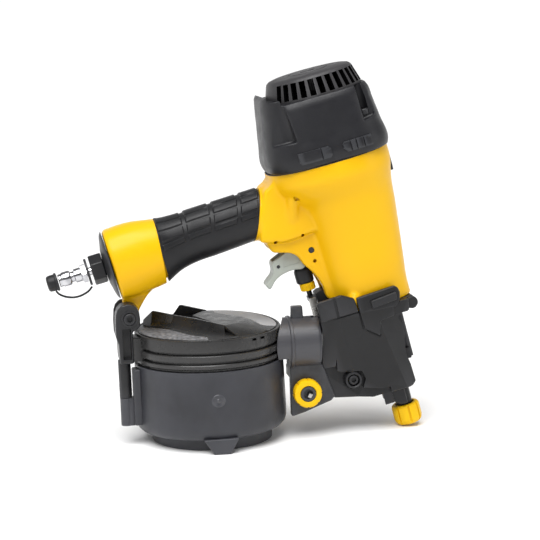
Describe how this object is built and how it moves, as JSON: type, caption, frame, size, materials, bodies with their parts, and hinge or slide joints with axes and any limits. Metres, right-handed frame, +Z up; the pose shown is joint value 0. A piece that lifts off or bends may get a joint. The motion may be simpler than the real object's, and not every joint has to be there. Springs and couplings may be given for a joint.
{
  "type": "pneumatic coil nailer",
  "caption": "Air-driven coil nailer: upright barrel with a domed exhaust cap, rubber-gripped handle and air nipple, round nail canister, and a slanted nose with a sprung contact tip.",
  "frame": {"origin": "centre of the bounding box's base, on the floor under the tool", "axes": "+X to the nose, +Y to the tool's left side (canister door side), +Z up"},
  "size_m": [0.2805, 0.1144, 0.2767],
  "materials": {
    "yellow_paint": "satin yellow paint over cast alloy",
    "yellow_plastic": "satin",
    "black_plastic": "fine matte texture",
    "canister_plastic": "satin moulded",
    "grey_plastic": "satin",
    "rubber": "dull",
    "black_steel": "black oxide",
    "black_alloy": "black coated casting",
    "steel": "bare machined",
    "chrome": "bright plated",
    "aluminium": "machined",
    "sealant": "dried thread sealant"
  },
  "bodies": {
    "tool": {"body_housing": "yellow_paint", "handle_end_cap": "black_plastic", "inlet_bushing": "black_steel", "thread_seal": "sealant", "strap_ring": "rubber", "air_fitting": "chrome", "dust_cap_strap": "rubber", "handle_grip": "rubber", "top_cap": "black_plastic", "cap_gasket": "rubber", "cap_screw_1": "black_steel", "cap_screw_2": "black_steel", "cap_screw_3": "black_steel", "cap_screw_4": "black_steel", "cylinder_sleeve": "aluminium", "bumper": "rubber", "head_valve_spring": "steel", "valve_body": "black_plastic", "trigger_pin": "black_steel", "nosepiece": "black_alloy", "nose_screw": "black_steel", "door_hinge_pin": "steel", "feed_housing": "black_alloy", "feed_spring": "steel", "magazine_top": "canister_plastic", "rear_bracket": "black_alloy", "cup_hinge_pin": "steel", "bracket_bolt": "black_steel"},
    "trigger_group": {"trigger": "grey_plastic", "rocker_pin": "steel"},
    "rocker_lever": {"rocker": "steel"},
    "trigger_valve": {"valve_stem": "steel"},
    "contact_trip_group": {"contact_arm": "steel", "trip_adjuster": "black_steel", "contact_trip": "black_steel", "no_mar_tip": "yellow_plastic"},
    "depth_wheel": {"depth_wheel": "yellow_plastic"},
    "piston_group": {"piston": "aluminium", "piston_seal": "rubber", "driver_blade": "steel"},
    "head_valve": {"head_valve": "aluminium"},
    "exhaust_deflector": {"exhaust_deflector": "black_plastic", "deflector_screw": "black_steel"},
    "feed_piston": {"feed_piston": "aluminium"},
    "feed_pawl": {"feed_pawl": "steel"},
    "feed_door": {"feed_door": "black_alloy"},
    "door_latch": {"door_latch": "black_steel"},
    "canister": {"canister_cup": "canister_plastic", "platform_post": "canister_plastic"},
    "nail_platform": {"nail_platform": "black_plastic"},
    "dust_cap": {"dust_cap": "rubber"},
    "spare_tip": {"spare_tip": "yellow_plastic"}
  },
  "joints": [
    {"name": "trigger_hinge", "type": "hinge", "parent": "tool", "child": "trigger_group", "pos_m": [0.05398, 0.0008, 0.13967], "axis": [0, 1, 0], "range_deg": [0, 12], "stiffness_Nm_per_rad": 1, "springref_deg": -14.32},
    {"name": "rocker_hinge", "type": "hinge", "parent": "trigger_group", "child": "rocker_lever", "pos_m": [0.03027, 0.0008, 0.12697], "axis": [0, -1, 0], "range_deg": [0, 20]},
    {"name": "valve_stem_slide", "type": "slide", "parent": "tool", "child": "trigger_valve", "axis": [-0.2453, 0, 0.9694], "range_m": [0, 0.0047]},
    {"name": "contact_slide", "type": "slide", "parent": "tool", "child": "contact_trip_group", "axis": [-0.2453, 0, 0.9694], "range_m": [0, 0.007], "stiffness_N_per_m": 1500, "springref_m": -0.02},
    {"name": "depth_wheel_spin", "type": "hinge", "parent": "contact_trip_group", "child": "depth_wheel", "pos_m": [0.05331, 0.0008, 0.11052], "axis": [-0.2453, 0, 0.9694], "continuous": true},
    {"name": "piston_slide", "type": "slide", "parent": "tool", "child": "piston_group", "axis": [0.2453, 0, -0.9694], "range_m": [0, 0.058]},
    {"name": "head_valve_slide", "type": "slide", "parent": "tool", "child": "head_valve", "axis": [-0.2453, 0, 0.9694], "range_m": [0, 0.004], "stiffness_N_per_m": 2000, "springref_m": -0.008, "deforming": ["head_valve_spring"]},
    {"name": "exhaust_deflector_spin", "type": "hinge", "parent": "tool", "child": "exhaust_deflector", "pos_m": [0.05964, 0.0008, 0.25509], "axis": [-0.2453, 0, 0.9694], "continuous": true},
    {"name": "feed_piston_slide", "type": "slide", "parent": "tool", "child": "feed_piston", "axis": [-0.9998, 0, -0.0209], "range_m": [0, 0.008], "stiffness_N_per_m": 800, "springref_m": -0.012, "deforming": ["feed_spring"]},
    {"name": "feed_pawl_hinge", "type": "hinge", "parent": "feed_piston", "child": "feed_pawl", "pos_m": [0.05333, -0.0058, 0.06998], "axis": [0.0209, 0, -0.9998], "range_deg": [0, 25], "stiffness_Nm_per_rad": 0.005, "springref_deg": -28.65},
    {"name": "feed_door_hinge", "type": "hinge", "parent": "tool", "child": "feed_door", "pos_m": [0.12888, 0.0088, 0.06909], "axis": [0.2453, 0, -0.9694], "range_deg": [0, 110]},
    {"name": "door_latch_turn", "type": "hinge", "parent": "feed_door", "child": "door_latch", "pos_m": [0.07895, 0.0148, 0.05646], "axis": [0, 1, 0], "range_deg": [0, 90]},
    {"name": "canister_swing", "type": "hinge", "parent": "tool", "child": "canister", "pos_m": [-0.08575, -0.0112, 0.02485], "axis": [-0.0209, 0, 0.9998], "range_deg": [0, 100]},
    {"name": "nail_platform_lift", "type": "slide", "parent": "canister", "child": "nail_platform", "axis": [-0.0209, 0, 0.9998], "range_m": [-0.004, 0.018]},
    {"name": "dust_cap_pull", "type": "slide", "parent": "tool", "child": "dust_cap", "axis": [-0.965, 0, -0.2622], "range_m": [0, 0.012], "deforming": ["dust_cap_strap"]},
    {"name": "spare_tip_pull", "type": "slide", "parent": "tool", "child": "spare_tip", "axis": [0, -1, 0], "range_m": [0, 0.012]}
  ],
  "couplings": [
    {"joint": "rocker_hinge", "follows": "contact_slide", "rad_per_m": 47.4},
    {"joint": "valve_stem_slide", "follows": "trigger_hinge", "m_per_rad": 0.0215}
  ]
}
